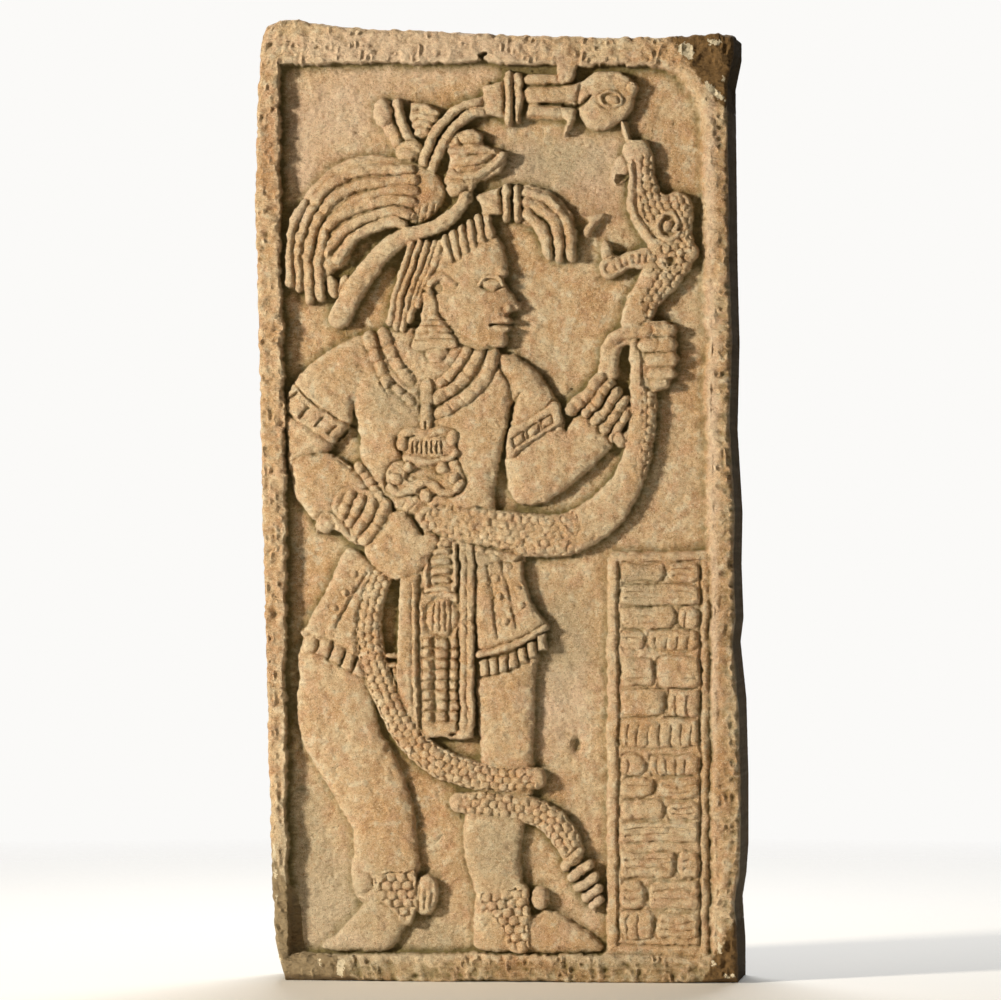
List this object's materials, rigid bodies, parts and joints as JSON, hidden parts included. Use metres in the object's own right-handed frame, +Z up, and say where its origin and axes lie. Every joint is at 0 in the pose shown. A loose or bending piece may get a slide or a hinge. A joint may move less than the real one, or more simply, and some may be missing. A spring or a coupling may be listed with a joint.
{
  "type": "carved stone panel",
  "caption": "Upright limestone panel carved in relief with a standing figure holding a serpent, beside a column of carved strokes, its lost corners made good in plaster.",
  "frame": {"origin": "bottom centre of the block's box, on its underside", "axes": "+Z up the panel, +Y from the carved face to the back, +X to the right seen from the front"},
  "size_m": [0.7395, 0.1701, 1.45],
  "materials": {
    "limestone": "weathered, dressed and carved cream limestone with earth in its hollows",
    "painted_plaster": "cast plaster painted brown, flaked to cream in places"
  },
  "bodies": {
    "root": {"carved_panel": "limestone", "top_right_fill": "painted_plaster", "bottom_right_fill": "painted_plaster", "bottom_left_fill": "painted_plaster"}
  },
  "joints": []
}
